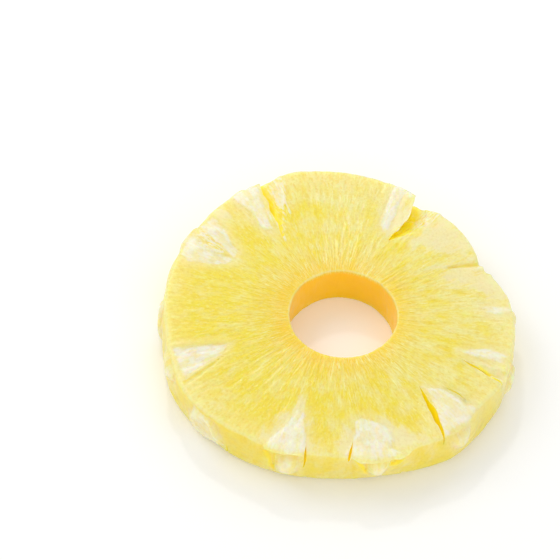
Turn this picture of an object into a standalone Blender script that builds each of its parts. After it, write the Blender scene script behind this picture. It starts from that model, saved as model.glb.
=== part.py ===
"""A pineapple ring: one thick slice across a peeled and cored pineapple, lying flat, better face up.

The slice is one body of flesh. Its section runs once round between the cored hole and the trimmed rim.
It is then cut by the notches and cracks that the fruit's eyes leave: a gouge has one steep and one
sloping side, and a crack is a thin blade. Metres, +Z up; the origin is under the middle of the ring, on
the surface it lies on. Angles are in degrees from +X towards +Y, and angles and radii are counted about
the fruit's own axis.
"""

import math
from collections import namedtuple

import bpy
import numpy as np

MM = 0.001

# The slice
FRUIT_AXIS = np.array([-0.8, -0.75]) * MM
THICKNESS = 11.0 * MM
MEAN_RADIUS = 42.5 * MM
HOLE_RADIUS = 12.8 * MM
HOLE_OFFSET = np.array([1.7, 0.1]) * MM  # the corer missed the fruit's axis by this
HOLE_WOBBLE = 0.15 * MM  # how far the cored hole is out of round
HOLE_EDGE = 0.45 * MM  # rounding where the hole meets a face
UPPER_EDGE = 0.8 * MM  # rounding where the rim meets the upper face
LOWER_EDGE = 1.5 * MM  # rounding where the rim meets the underside
RIM_BULGE = 0.5 * MM  # how far the rim swells at half height
PATCH_EDGE = 0.6 * MM  # half the width over which an eye's patch rises

# The rim's outline: (angle, radius in mm) wherever its curve changes. It is smoother below, where no eye
# was cut out.
UPPER_RIM = (
    (0, 42.8), (12, 42.2), (21, 40.6), (29.5, 38.2), (36, 39.3), (46, 40.3), (56, 40.6), (65, 41.8),
    (75, 42.6), (88, 43.4), (100, 43.9), (110, 44.1), (120, 43.2), (134, 42.6), (150, 41.4), (170, 41.2),
    (197, 41.0), (210, 42.1), (221, 43.2), (232, 42.8), (246, 42.0), (259, 42.0), (272, 41.0), (280, 41.4),
    (287, 43.0), (293, 42.9), (302, 41.9), (317, 43.2), (329, 42.3), (340, 43.4), (350, 43.0),
)
LOWER_RIM = (
    (15, 41.6), (45, 40.5), (75, 42.0), (105, 43.0), (135, 41.9), (165, 40.8), (192, 41.0),
    (214, 42.6), (245, 42.2), (275, 40.7), (292, 40.9), (315, 43.5), (338, 43.4),
)

# The waves that run round the upper face: (waves in a turn, start in degrees, height in mm)
FACE_WAVES = ((2, 40, 0.18), (5, 200, 0.11))
FACE_WAVES_FROM = 30.0 * MM  # they have their full height from this radius outwards

# An eye is a wedge of white, fibrous tissue. tip is where it ends inside the upper face, rim the two
# angles at which it leaves it, upper and under its relative size on each face, drift the degrees it moves
# round on its way down the rim, raised how far it stands out of the faces, and lump how far it stands out
# of the rim, in mm.
Eye = namedtuple("Eye", "name tip_angle tip_radius tip_width rim_from rim_to upper under drift raised lump")
EYES = (
    Eye("north_west", 129, 28.5, 1.6, 122, 133, 1.0, 0.5, -5, 0.25, 0.4),
    Eye("west_upper", 156, 27.0, 1.5, 145, 160, 1.0, 0.4, 4, -0.20, 0.3),
    Eye("west", 181, 30.0, 1.5, 176, 188, 0.0, 1.0, 3, 0.20, 0.3),
    Eye("west_lower", 208, 28.3, 1.2, 202, 215, 1.0, 0.3, -4, -0.25, 0.2),
    Eye("south_west", 231, 31.0, 1.5, 224, 238, 0.1, 1.1, -1, 0.30, -0.6),
    Eye("south_left", 261, 29.0, 2.0, 252, 265, 1.0, 0.8, 2, 0.20, 0.5),
    Eye("south", 288, 29.5, 3.2, 281, 293, 1.0, 0.8, -1, 0.35, 0.4),
    Eye("south_east", 321, 29.5, 3.4, 313, 328, 1.0, 0.7, -3, 0.30, 0.4),
    Eye("east_lower", 347, 31.5, 0.8, 346, 352, 1.0, 0.8, -4, 0.30, 0.3),
    Eye("east", 10, 33.5, 0.8, 5, 11, 0.9, 0.4, 3, 0.15, 0.3),
    Eye("east_upper", 31, 26.0, 2.0, 26, 32, 0.9, 0.6, 4, -0.30, -0.5),
    Eye("north_east", 70, 28.0, 3.2, 67.5, 75, 1.0, 0.6, 4, 0.35, 0.3),
    Eye("north", 98, 29.0, 1.6, 92, 103, 0.0, 1.0, 2, 0.25, 0.3),
)

# A cut runs from its tip to its mouth at the rim, both as (angle, radius in mm), and bends sideways by
# bend, towards smaller angles. A gouge has its width and depth at the mouth, in mm. Its floor slopes up
# from a steep side that leans in under the face, towards smaller angles where its width is positive.
Gouge = namedtuple("Gouge", "name tip mouth bend width depth under")
GOUGES = (
    Gouge("gouge_north_east", (66.3, 26.0), (68.6, 44.5), 1.8, 9.4, 6.5, False),
    Gouge("gouge_north_west", (125.6, 25.0), (121.0, 46.5), 0.0, 7.0, 3.0, False),
    Gouge("gouge_east_upper", (33.5, 31.5), (28.0, 41.0), 0.0, 3.0, 1.7, False),
    Gouge("gouge_east", (342.0, 33.5), (340.2, 45.5), 0.0, -3.4, 1.5, False),
    Gouge("gouge_under_west", (176.0, 29.0), (174.0, 44.0), 0.0, 4.0, 3.0, True),
    Gouge("gouge_under_south", (300.0, 32.0), (297.0, 45.0), 0.0, -3.5, 2.6, True),
)
# A crack is widest and deepest at the share of its length given by widest.
Crack = namedtuple("Crack", "name tip mouth bend width mouth_width widest depth mouth_depth under")
CRACKS = (
    Crack("crack_south_east", (319.2, 28.2), (310.2, 45.0), -0.45, 1.5, 0.35, 0.45, 6.5, 2.4, False),
    Crack("crack_south_east_upper", (326.6, 33.0), (327.0, 38.8), -0.4, 0.6, 0.2, 0.5, 2.5, 1.0, False),
    Crack("crack_east", (343.0, 32.2), (339.3, 45.0), 0.0, 0.8, 0.45, 0.4, 4.5, 2.5, False),
    Crack("crack_south_left", (265.0, 39.4), (265.8, 44.0), 0.0, 0.9, 1.2, 0.9, 6.0, 6.0, False),
    Crack("crack_south", (281.2, 37.2), (278.6, 44.0), 0.0, 1.1, 1.6, 0.9, 2.4, 2.2, False),
    Crack("crack_west_lower", (213.8, 30.0), (217.4, 44.5), -0.2, 0.5, 0.5, 0.9, 2.2, 1.6, False),
    Crack("crack_north", (100.5, 30.0), (103.5, 46.0), 0.0, 1.1, 0.6, 0.5, 4.5, 3.0, True),
    Crack("crack_under_south_west", (240.0, 33.0), (239.0, 44.5), 0.0, 1.0, 0.8, 0.5, 4.5, 3.5, True),
)
GOUGE_TIP = 0.06  # a gouge's size at its tip, as a share of its size at the mouth
GOUGE_LEAN = 0.25  # how far its steep side leans in, as a share of its depth
CRACK_TIP_WIDTH = 0.12
CRACK_TIP_DEPTH = 0.3  # a share of its full depth
CUT_CLEARANCE = 1.5 * MM  # how far a cutter stands out of the face it cuts
CUT_STEPS = 8

# Mesh density: columns round the ring, and rows along each stretch of the section
COLUMNS = 170
FACE_ROWS, RIM_ROWS, HOLE_ROWS, EDGE_ROWS = 9, 5, 3, 2
SHARP_ANGLE = 40.0

FLESH_COLOUR = (0.95, 0.78, 0.22, 1.0)
FLESH_ROUGHNESS = 0.35


def clear_scene():
    for obj in list(bpy.data.objects):
        bpy.data.objects.remove(obj)


def smoothstep(low, high, value):
    """0 below low, 1 above high, and a smooth rise between."""
    share = np.clip((value - low) / (high - low), 0.0, 1.0)
    return share * share * (3.0 - 2.0 * share)


def half_turn(angle):
    """An angle as -180 to 180 degrees."""
    return (angle + 180.0) % 360.0 - 180.0


def polar_point(angle, radius):
    turn = np.radians(angle)
    return FRUIT_AXIS + radius * np.array([np.cos(turn), np.sin(turn)])


def closed_curve(points, angle):
    """The radius at an angle on a smooth closed curve through (angle, radius in mm) points."""
    angles, radii = np.array(points).T
    before, after = np.roll(angles, 1), np.roll(angles, -1)
    before[0] -= 360.0
    after[-1] += 360.0
    slopes = (np.roll(radii, -1) - np.roll(radii, 1)) / (after - before)
    here = np.searchsorted(angles, np.asarray(angle) % 360.0, side="right") - 1
    there = (here + 1) % len(angles)
    step = after[here] - angles[here]
    t = (angle - angles[here]) % 360.0 / step
    radius = (2 * t**3 - 3 * t**2 + 1) * radii[here] + (3 * t**2 - 2 * t**3) * radii[there]
    radius += ((t**3 - 2 * t**2 + t) * slopes[here] + (t**3 - t**2) * slopes[there]) * step
    return radius * MM


def hole_radius(angle):
    turn = np.radians(angle)
    return HOLE_RADIUS + HOLE_WOBBLE * (np.sin(2.0 * turn + 0.6) + 0.5 * np.sin(3.0 * turn + 2.0))


def patch(eye, angle, radius, size):
    """How far a point of a face lies inside an eye's wedge, 0 to 1, for a wedge of this relative size."""
    if size <= 0.0:
        return np.zeros_like(angle)
    middle = (eye.rim_from + eye.rim_to) / 2
    rim = closed_curve(UPPER_RIM, middle)
    mouth_width = np.radians(eye.rim_to - eye.rim_from) * rim
    tip = rim - (rim - eye.tip_radius * MM) * min(size, 1.0)
    along = (radius - tip) / (rim - tip)
    centre = eye.tip_angle + (middle - eye.tip_angle) * along
    half = (eye.tip_width * MM + (mouth_width - eye.tip_width * MM) * along) * size / 2
    aside = np.abs(np.radians(half_turn(angle - centre))) * radius
    return smoothstep(-0.08, 0.08, along) * (1.0 - smoothstep(half - PATCH_EDGE, half + PATCH_EDGE, aside))


def upper_relief(angle, radius):
    """How far the upper face stands above a plain cut."""
    relief = sum(patch(eye, angle, radius, eye.upper) * eye.raised for eye in EYES)
    waves = sum(height * np.sin(np.radians(count * angle + start)) for count, start, height in FACE_WAVES)
    return (relief + waves * smoothstep(HOLE_RADIUS, FACE_WAVES_FROM, radius)) * MM


def under_relief(angle, radius):
    """How far the underside is hollowed at its eyes. The flesh between them lies flat on the surface."""
    return sum(patch(eye, angle, radius, eye.under) * abs(eye.raised) for eye in EYES) * MM


def rim_relief(angle, up):
    """How far the rim stands out between its outlines. up is 0 at the underside and 1 at the upper face."""
    relief = RIM_BULGE * (1.0 - (2.0 * up - 1.0) ** 2)
    for eye in EYES:
        middle = (eye.rim_from + eye.rim_to) / 2 + eye.drift * (1.0 - up)
        size = eye.under + (eye.upper - eye.under) * up
        half = np.maximum((eye.rim_to - eye.rim_from) / 2 * size, 0.5)
        across = np.clip(np.abs(half_turn(angle - middle)) / half, 0.0, 1.0)
        lump = np.sqrt(1.0 - across**2) * smoothstep(0.1, 0.5, size) * np.sin(np.pi * (0.05 + 0.9 * up))
        relief = relief + eye.lump * MM * lump
    return relief


def corner_points(across, up, edge, start):
    """A rounded corner of the section, clockwise from start degrees, as (across, up) pairs."""
    turns = np.radians(start - 90.0 * np.arange(EDGE_ROWS + 1) / EDGE_ROWS)
    into = np.array([1.0 if across == 0.0 else -1.0, 1.0 if up == 0.0 else -1.0])
    scale = np.array([MEAN_RADIUS - HOLE_RADIUS, THICKNESS])
    return (across, up) + edge * (np.stack([np.cos(turns), np.sin(turns)], axis=1) + into) / scale


def section_outline():
    """The section's outline as (across, up) pairs: across is 0 at the hole and 1 at the rim."""
    corners = (
        corner_points(0.0, 1.0, HOLE_EDGE, 180.0),
        corner_points(1.0, 1.0, UPPER_EDGE, 90.0),
        corner_points(1.0, 0.0, LOWER_EDGE, 0.0),
        corner_points(0.0, 0.0, HOLE_EDGE, 270.0),
    )
    points = []
    for index, rows in enumerate((FACE_ROWS, RIM_ROWS, FACE_ROWS, HOLE_ROWS)):
        end, start = corners[(index + 1) % 4][0], corners[index][-1]
        points += list(corners[index])
        points += [start + (end - start) * step / rows for step in range(1, rows)]
    return np.array(points)


def ring_points():
    """Every vertex of the uncut ring, as (columns, rows, 3)."""
    across, up = section_outline().T
    angle = 360.0 * np.arange(COLUMNS)[:, None] / COLUMNS + 0.0 * across
    direction = np.stack([np.cos(np.radians(angle)), np.sin(np.radians(angle))], axis=2)
    inner = HOLE_OFFSET + direction * hole_radius(angle)[..., None]
    rim = closed_curve(LOWER_RIM, angle) * (1.0 - up) + closed_curve(UPPER_RIM, angle) * up
    outer = direction * (rim + rim_relief(angle, up))[..., None]
    plan = inner + (outer - inner) * across[:, None]
    plan_angle = np.degrees(np.arctan2(plan[..., 1], plan[..., 0]))
    plan_radius = np.hypot(plan[..., 0], plan[..., 1])
    top = THICKNESS + upper_relief(plan_angle, plan_radius)
    bottom = under_relief(plan_angle, plan_radius)
    height = bottom + (top - bottom) * up
    return np.concatenate([FRUIT_AXIS + plan, height[..., None]], axis=2)


def grid_faces(columns, rows):
    """The quads of a grid that closes on itself both ways."""
    column, row = np.meshgrid(np.arange(columns), np.arange(rows), indexing="ij")
    right, above = (column + 1) % columns, (row + 1) % rows
    corners = [column * rows + row, column * rows + above, right * rows + above, right * rows + row]
    return np.stack([corner.ravel() for corner in corners], axis=1).tolist()


def mesh_object(name, points, faces):
    """An object from points and faces, turned right side out if its volume says that it is inside out."""
    mesh = bpy.data.meshes.new(name)
    mesh.from_pydata([tuple(map(float, point)) for point in points], [], faces)
    mesh.validate()
    mesh.calc_loop_triangles()
    corners = np.array([[mesh.vertices[i].co[:] for i in tri.vertices] for tri in mesh.loop_triangles])
    if np.linalg.det(corners).sum() < 0.0:
        mesh.flip_normals()
    obj = bpy.data.objects.new(name, mesh)
    bpy.context.scene.collection.objects.link(obj)
    return obj


def cut_sections(cut, outline_at):
    """Sections of a cutter from tip to mouth. outline_at gives (sideways, depth) pairs at a share of it."""
    tip = polar_point(cut.tip[0], cut.tip[1] * MM)
    mouth = polar_point(cut.mouth[0], cut.mouth[1] * MM)
    ahead = (mouth - tip) / np.linalg.norm(mouth - tip)
    aside = np.array([ahead[1], -ahead[0]])  # towards smaller angles
    face, down = (0.0, 1.0) if cut.under else (THICKNESS, -1.0)
    sections = []
    for share in np.linspace(0.0, 1.0, CUT_STEPS + 1):
        middle = tip + (mouth - tip) * share + aside * cut.bend * MM * 4.0 * share * (1.0 - share)
        sections += [(*(middle + aside * side), face + down * depth) for side, depth in outline_at(share)]
    return sections


def gouge_cutter(gouge):
    def outline_at(share):
        width = gouge.width * MM * (GOUGE_TIP + (1.0 - GOUGE_TIP) * share)
        depth = gouge.depth * MM * (GOUGE_TIP + (1.0 - GOUGE_TIP) * share)
        lean = math.copysign(GOUGE_LEAN, gouge.width)
        top_width = width * (1.0 + CUT_CLEARANCE / depth)
        steep_side = (lean * CUT_CLEARANCE, -CUT_CLEARANCE), (-lean * depth, depth)
        return (*steep_side, (width / 4, depth * 0.85), (top_width, -CUT_CLEARANCE))

    return cutter_object(gouge.name, cut_sections(gouge, outline_at))


def crack_cutter(crack):
    def outline_at(share):
        opening = np.sin(np.pi / 2 * min(share / crack.widest, 1.0))
        closing = smoothstep(crack.widest, 1.0, share)
        width = CRACK_TIP_WIDTH + (crack.width - CRACK_TIP_WIDTH) * opening
        half = (width + (crack.mouth_width - crack.width) * closing) * MM / 2
        depth = crack.depth * (CRACK_TIP_DEPTH + (1.0 - CRACK_TIP_DEPTH) * opening)
        depth = (depth + (crack.mouth_depth - crack.depth) * closing) * MM
        return (-half, -CUT_CLEARANCE), (-half / 3, depth), (half / 3, depth), (half, -CUT_CLEARANCE)

    return cutter_object(crack.name, cut_sections(crack, outline_at))


def cutter_object(name, points):
    """A hidden closed body through sections of four points each."""
    faces = [
        (4 * ring + i, 4 * ring + (i + 1) % 4, 4 * ring + 4 + (i + 1) % 4, 4 * ring + 4 + i)
        for ring in range(CUT_STEPS)
        for i in range(4)
    ]
    last = 4 * CUT_STEPS
    faces += [(3, 2, 1, 0), (last, last + 1, last + 2, last + 3)]
    obj = mesh_object(name, points, faces)
    obj.hide_render = True
    obj.display_type = "WIRE"
    return obj


def cut(body, cutter):
    modifier = body.modifiers.new(cutter.name, "BOOLEAN")
    modifier.operation = "DIFFERENCE"
    modifier.solver = "EXACT"
    modifier.object = cutter


def flesh_material():
    material = bpy.data.materials.new("flesh")
    material.use_nodes = True
    shader = material.node_tree.nodes["Principled BSDF"]
    shader.inputs["Base Color"].default_value = FLESH_COLOUR
    shader.inputs["Roughness"].default_value = FLESH_ROUGHNESS
    return material


def build_ring():
    points = ring_points()
    columns, rows, _ = points.shape
    ring = mesh_object("pineapple_ring", points.reshape(-1, 3), grid_faces(columns, rows))
    ring.data.materials.append(flesh_material())
    ring.data.shade_smooth()
    ring.data.set_sharp_from_angle(angle=np.radians(SHARP_ANGLE))
    for gouge in GOUGES:
        cut(ring, gouge_cutter(gouge))
    for crack in CRACKS:
        cut(ring, crack_cutter(crack))


clear_scene()
build_ring()
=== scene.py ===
"""The looks of a pineapple ring: wet, translucent yellow flesh with radial fibres, white eyes and cuts.

The ring's finely modelled mesh replaces the plain solid of the frame. It has the same outline, eyes and
cuts, named as there, with the relief that the solid is too coarse for, and two of the cuts are soft dents.
Metres, +Z up; angles are in degrees from +X towards +Y, and angles and radii are counted about the fruit's
own axis.
"""

import itertools
import math
from collections import namedtuple
from types import SimpleNamespace

import bmesh
import bpy
import numpy as np
from mathutils import Matrix, Vector
from mathutils.kdtree import KDTree


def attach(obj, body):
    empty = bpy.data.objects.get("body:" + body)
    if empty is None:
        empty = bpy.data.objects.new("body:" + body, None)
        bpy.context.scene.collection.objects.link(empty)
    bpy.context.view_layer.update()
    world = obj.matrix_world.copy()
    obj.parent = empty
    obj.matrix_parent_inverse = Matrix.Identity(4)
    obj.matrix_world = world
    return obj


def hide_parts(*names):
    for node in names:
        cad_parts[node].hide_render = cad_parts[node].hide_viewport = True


MM = 0.001

# The slice, and how far its borders are rounded off
FRUIT_AXIS = np.array([-0.8, -0.75]) * MM
THICKNESS = 11.0 * MM
MEAN_RADIUS = 42.5 * MM
HOLE_RADIUS = 12.8 * MM
HOLE_OFFSET = np.array([1.7, 0.1]) * MM
HOLE_WOBBLE = 0.15 * MM
HOLE_EDGE = 0.45 * MM
UPPER_EDGE = 0.8 * MM
LOWER_EDGE = 1.5 * MM
RIM_BULGE = 0.5 * MM
PATCH_EDGE = 0.6 * MM

# The rim's outline: (angle, radius in mm)
UPPER_RIM = (
    (0, 42.8), (12, 42.2), (21, 40.6), (29.5, 38.2), (36, 39.3), (46, 40.3), (56, 40.6), (65, 41.8),
    (75, 42.6), (88, 43.4), (100, 43.9), (110, 44.1), (120, 43.2), (134, 42.6), (150, 41.4), (170, 41.2),
    (197, 41), (210, 42.1), (221, 43.2), (232, 42.8), (246, 42), (259, 42), (272, 41), (280, 41.4),
    (287, 43), (293, 42.9), (302, 41.9), (317, 43.2), (329, 42.3), (340, 43.4), (350, 43),
)
LOWER_RIM = (
    (15, 41.6), (45, 40.5), (75, 42), (105, 43), (135, 41.9), (165, 40.8), (192, 41),
    (214, 42.6), (245, 42.2), (275, 40.7), (292, 40.9), (315, 43.5), (338, 43.4),
)
FACE_WAVES = ((2, 40, 0.18), (5, 200, 0.11))  # waves in a turn, start in degrees, height in mm
FACE_WAVES_FROM = 30.0 * MM

# An eye is a wedge of white tissue. tip is where it ends inside a face, rim the two angles at which it leaves
# it, upper and under its relative size on each face, drift the degrees it moves round down the rim, raised
# how far it stands out of the faces, and lump how far out of the rim, in mm.
Eye = namedtuple("Eye", "name tip_angle tip_radius tip_width rim_from rim_to upper under drift raised lump")
EYES = (
    Eye("north_west", 129, 28.5, 1.6, 122, 133, 1.0, 0.5, -5, 0.25, 0.4),
    Eye("west_upper", 156, 27.0, 1.5, 145, 160, 1.0, 0.4, 4, -0.20, 0.3),
    Eye("west", 181, 30.0, 1.5, 176, 188, 0.0, 1.0, 3, 0.20, 0.3),
    Eye("west_lower", 208, 28.3, 1.2, 202, 215, 1.0, 0.3, -4, -0.25, 0.2),
    Eye("south_west", 231, 31.0, 1.5, 224, 238, 0.1, 1.1, -1, 0.30, -0.6),
    Eye("south_left", 261, 29.0, 2.0, 252, 265, 1.0, 0.8, 2, 0.20, 0.5),
    Eye("south", 288, 29.5, 3.2, 281, 293, 1.0, 0.8, -1, 0.35, 0.4),
    Eye("south_east", 321, 29.5, 3.4, 313, 328, 1.0, 0.7, -3, 0.30, 0.4),
    Eye("east_lower", 347, 31.5, 0.8, 346, 352, 1.0, 0.8, -4, 0.30, 0.3),
    Eye("east", 10, 33.5, 0.8, 5, 11, 0.9, 0.4, 3, 0.15, 0.3),
    Eye("east_upper", 31, 26.0, 2.0, 26, 32, 0.9, 0.6, 4, -0.30, -0.5),
    Eye("north_east", 70, 28.0, 3.2, 67.5, 75, 1.0, 0.6, 4, 0.08, 0.3),
    Eye("north", 98, 29.0, 1.6, 92, 103, 0.0, 1.0, 2, 0.25, 0.3),
)

# A cut runs from its tip to its mouth at the rim, both as (angle, radius in mm), and bends sideways by bend,
# towards smaller angles. A gouge has its width and depth at the mouth, in mm. Its floor slopes up from a
# steep side that leans in under the face, towards smaller angles where its width is positive.
Gouge = namedtuple("Gouge", "name tip mouth bend width depth under")
GOUGES = (
    Gouge("gouge_north_east", (66.3, 26), (68.6, 44.5), 1.8, 9.4, 6.5, False),
    Gouge("gouge_north_west", (125.6, 25), (121, 46.5), 0.0, 7.0, 3.0, False),
    Gouge("gouge_east", (342, 33.5), (340.2, 45.5), 0.0, -3.4, 1.5, False),
    Gouge("gouge_under_west", (176, 29), (174, 44), 0.0, 4.0, 3.0, True),
    Gouge("gouge_under_south", (300, 32), (297, 45), 0.0, -3.5, 2.6, True),
)
# A crack is widest and deepest at the share of its length given by widest
Crack = namedtuple("Crack", "name tip mouth bend width mouth_width widest depth mouth_depth under")
CRACKS = (
    Crack("crack_south_east", (319.2, 28.2), (310.2, 45), -0.45, 1.5, 0.35, 0.45, 6.5, 2.4, False),
    Crack("crack_south_east_upper", (326.6, 33), (327, 38.8), -0.4, 0.6, 0.2, 0.5, 2.5, 1.0, False),
    Crack("crack_east", (343, 32.2), (339.3, 45), 0.0, 0.8, 0.45, 0.4, 4.5, 2.5, False),
    Crack("crack_south_left", (265, 39.4), (265.8, 44), 0.0, 0.9, 1.2, 0.9, 6.0, 6.0, False),
    Crack("crack_south", (281.2, 37.2), (278.6, 44), 0.0, 1.1, 1.6, 0.9, 2.4, 2.2, False),
    Crack("crack_north", (100.5, 30), (103.5, 46), 0.0, 1.1, 0.6, 0.5, 4.5, 3.0, True),
    Crack("crack_under_south_west", (240, 33), (239, 44.5), 0.0, 1.0, 0.8, 0.5, 4.5, 3.5, True),
)
# A soft cut is a shallow dent, with both ends as (angle, radius), half its width and its depth, in mm
SoftCut = namedtuple("SoftCut", "name start end half_width depth")
SOFT_CUTS = (
    SoftCut("gouge_east_upper", (34, 31), (30.4, 38.6), 1.8, 0.5),
    SoftCut("crack_west_lower", (213, 29.6), (217, 41.8), 0.9, 0.35),
)
GOUGE_TIP = 0.06  # a gouge's size at its tip, as a share of its size at the mouth
GOUGE_LEAN = 0.25  # how far its steep side leans in, as a share of its depth
DEEP_GOUGE, FULL_LEAN = 2.0, 6.0  # the depths in mm from which it leans, and from which it leans fully
CRACK_TIP_WIDTH = 0.12
CRACK_TIP_DEPTH = 0.3  # a share of its full depth
CUT_CLEARANCE = 1.5 * MM  # how far a cutter stands out of the face it cuts
RAGGEDNESS, RAGGED_SHARE = 0.35 * MM, 0.25  # of a cut's walls: at most, and as a share of the cut's width
WALL_FIBRES, WALL_LUMPS = (30, 3.0 * MM, 11), (1.2 * MM, 12)  # cells to a radian, length, seed; size, seed
FLOOR_LUMPS, FLOOR_GRAIN = (1.3 * MM, 13), (0.7 * MM, 14)
WALL_TOLERANCE = 0.003 * MM
MERGE_DISTANCE = 0.005 * MM

# White tissue on the upper face: the eye, and the corners of the patch as (angle, radius in mm)
FACE_PATCHES = (
    ("north_west", ((132.2, 42.8), (127, 43.3), (122.3, 42.3), (123.9, 38), (125.3, 33.2), (127.5, 29.4),
        (131.2, 29.8), (130.4, 35.2), (131.2, 38.8))),
    ("west_upper", ((142.5, 40.6), (143.5, 36.4), (146.8, 32.2), (148.8, 29.4), (153, 29), (151, 32.5),
        (149.5, 36.5), (148.5, 41))),
    ("west_upper", ((151.5, 41.6), (155, 36.5), (154.5, 32), (153, 28.8), (157.5, 29.6), (160.5, 32),
        (162.3, 35), (163.5, 38.2), (162, 40.6), (157, 41.4))),
    ("west_lower", ((203, 40.7), (203.8, 36.4), (205.5, 31.7), (207.2, 28.2), (210, 29.2), (212.8, 32.2),
        (213.8, 35.1), (214.5, 38.2), (216, 41), (211.5, 40.8), (206.8, 40.6))),
    ("south_left", ((252.2, 42.6), (253, 39.2), (254.6, 35.6), (256.8, 32.4), (258.6, 29.6), (260.6, 30.4),
        (262.8, 33.2), (264.2, 36.8), (265.2, 40.4), (263.5, 41.6), (259.2, 42.4), (254.8, 42.8))),
    ("south", ((282.8, 31.4), (285.8, 30.7), (289.8, 31.7), (294.2, 33.5), (296.5, 35.7), (295.8, 38.5),
        (293.6, 40.2), (296.5, 42.2), (294, 42.6), (287.8, 42.8), (283.2, 42.4), (280.8, 41.4),
        (280.5, 39.2), (281.2, 37), (283, 34.5))),
    ("south_east", ((319.9, 30.4), (322, 30.6), (324.8, 32.4), (325.8, 34.4), (326.4, 36.6), (325.4, 39.1),
        (326.8, 40.7), (326.8, 42.4), (324.5, 42.9), (321, 43.2), (316.5, 42.2), (311.9, 43.1),
        (312.4, 41), (314.8, 36.9), (317.3, 34))),
    ("east_lower", ((347.2, 31.5), (349.2, 33.1), (351.2, 36.7), (351, 39.4), (350, 42.2), (347.5, 41.5),
        (346.2, 37.3), (346.2, 34.1))),
    ("east", ((11, 34.5), (11.3, 37.6), (10.6, 40.7), (10, 42.2), (7.8, 42.2), (7.2, 38.8), (8.5, 36.3))),
    ("north_east", ((74.8, 42.6), (74.5, 37.5), (73.8, 32.6), (73.5, 29.3), (71, 28.2), (69, 29),
        (69.5, 33), (70.8, 38), (70.6, 42.6))),
)
# Soft, paler flesh on the upper face, with corners as above
CREAM_AREAS = (
    ((36, 27.5), (26, 28.5), (17, 35), (9, 43), (24, 41.5), (29.5, 39), (37, 40.5), (39, 33)),
    ((76, 43.5), (75, 34), (73.5, 27.5), (66, 27.5), (63.5, 31.2), (65, 36), (67.5, 43.5)),
    ((62.5, 27.5), (58.5, 32), (56, 42), (46, 42), (38, 40.5), (39, 33), (47, 29.5), (56, 27.5)),
    ((274, 43), (277, 32), (298, 32), (308, 43.5)),
    ((258, 25.5), (252, 33), (246, 43), (274, 43), (266, 35), (262, 28)),
    ((119.5, 43.8), (115, 44.8), (114, 38), (117, 33), (119.5, 32.5)),
    ((134, 43.5), (136, 38), (141, 39), (143, 42.5)),
    ((340.5, 43.5), (342, 38), (346, 35), (346, 43.5)),
)
# Crumbly flesh on the upper face, and two white beads on its border as (angle, radius in mm)
CRUMBLY_AREAS = (
    ((121.5, 38), (119.5, 43.8), (112.5, 45.5), (113.5, 40), (116, 34.4), (119.8, 30.5), (122.5, 27.5)),
    ((65.5, 28.5), (66, 36), (65.5, 42), (58.5, 42), (55, 40.8), (57, 35), (61, 29.5)),
    ((147, 40.5), (149, 33), (155, 32), (156, 40)),
)
BEADS = ((29, 38.1), (25.5, 40.1))
BEAD_SIZE = 0.9 * MM
# Bright wet strands on the upper face, partly white fibres and partly painted wet highlights: both ends as
# (angle, radius), then half the width, in mm
STREAKS = (
    ((74.6, 41.5), (72.9, 30), 0.8),
    ((69.6, 42.3), (68.8, 40.9), 0.7),
    ((64.2, 40.6), (58.5, 41.3), 0.5),
    ((58.5, 41.3), (53.5, 40.9), 0.5),
    ((123, 31.6), (125, 24.6), 0.45),
    ((124.4, 34.5), (125.1, 31.3), 0.3),
    ((115.5, 39), (115.8, 31.9), 0.3),
    ((118, 38), (118.6, 34), 0.3),
    ((151.2, 39.2), (152, 37.1), 0.4),
    ((154.8, 40.5), (158.2, 31.9), 0.35),
    ((154.8, 33.6), (153.2, 32.2), 0.45),
    ((278.5, 40.6), (281.5, 37), 0.35),
    ((285.5, 31.4), (286, 34.8), 0.3),
    ((319.8, 28.8), (322.3, 32.4), 0.3),
)
# The same on the rim, with ends as (angle, height)
RIM_STREAKS = (
    ((230, 9.7), (231.8, 8.8), 0.6),
    ((231.5, 9.4), (237.8, 3.2), 0.4),
    ((260.2, 8.1), (261.2, 7.6), 0.7),
    ((281.8, 10.6), (287, 10.3), 0.3),
)
# White tissue on the rim, by eye: the corners of each patch as (angle, height in mm)
RIM_PATCHES = {
    "north_west": ((121.5, 8), (127, 10.6), (133, 9.5), (133.5, 4.5), (128, 2.5)),
    "west_upper": ((146, 7), (149, 10.6), (158, 10.4), (159.5, 6.5), (155, 4)),
    "west": ((175, 2), (177.5, 6.5), (183, 8), (189, 5.5), (190.5, 1.5), (184, 0.6)),
    "west_lower": ((200.5, 9), (204, 10.6), (212, 10.5), (213, 8), (208, 5.5)),
    "south_west": ((223.2, 5.5), (225.5, 10.2), (231, 10.7), (235, 8.4), (237.3, 5), (237.5, 2.5),
        (230, 0.6), (224, 1)),
    "south_left": ((257, 2.8), (256.6, 6.4), (257.4, 8.6), (259.8, 9.6), (262.9, 9.2), (263.8, 7),
        (263.2, 3.6), (260.5, 2.2)),
    "south": ((285.8, 6), (285.2, 9.9), (292, 9.9), (292.2, 7.3), (291, 3.6), (288, 3.3)),
    "south_east": ((314.2, 6.8), (314.4, 9.6), (321.3, 10), (321.6, 8.4), (320, 5.4), (316.8, 4)),
    "east_lower": ((342.5, 3), (345, 8), (350, 9.5), (352, 6), (348, 2.5)),
    "east": ((6, 6), (8, 9.8), (12.5, 9), (12, 5)),
    "east_upper": ((27.5, 4.5), (26, 9.5), (31.5, 10), (34, 6)),
    "north_east": ((69, 5), (68, 10.4), (74.5, 10.4), (77, 6.5), (74, 3.5)),
    "north": ((93, 1.5), (92, 5.5), (97.5, 7.5), (103, 5), (104, 1.2)),
}
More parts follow.
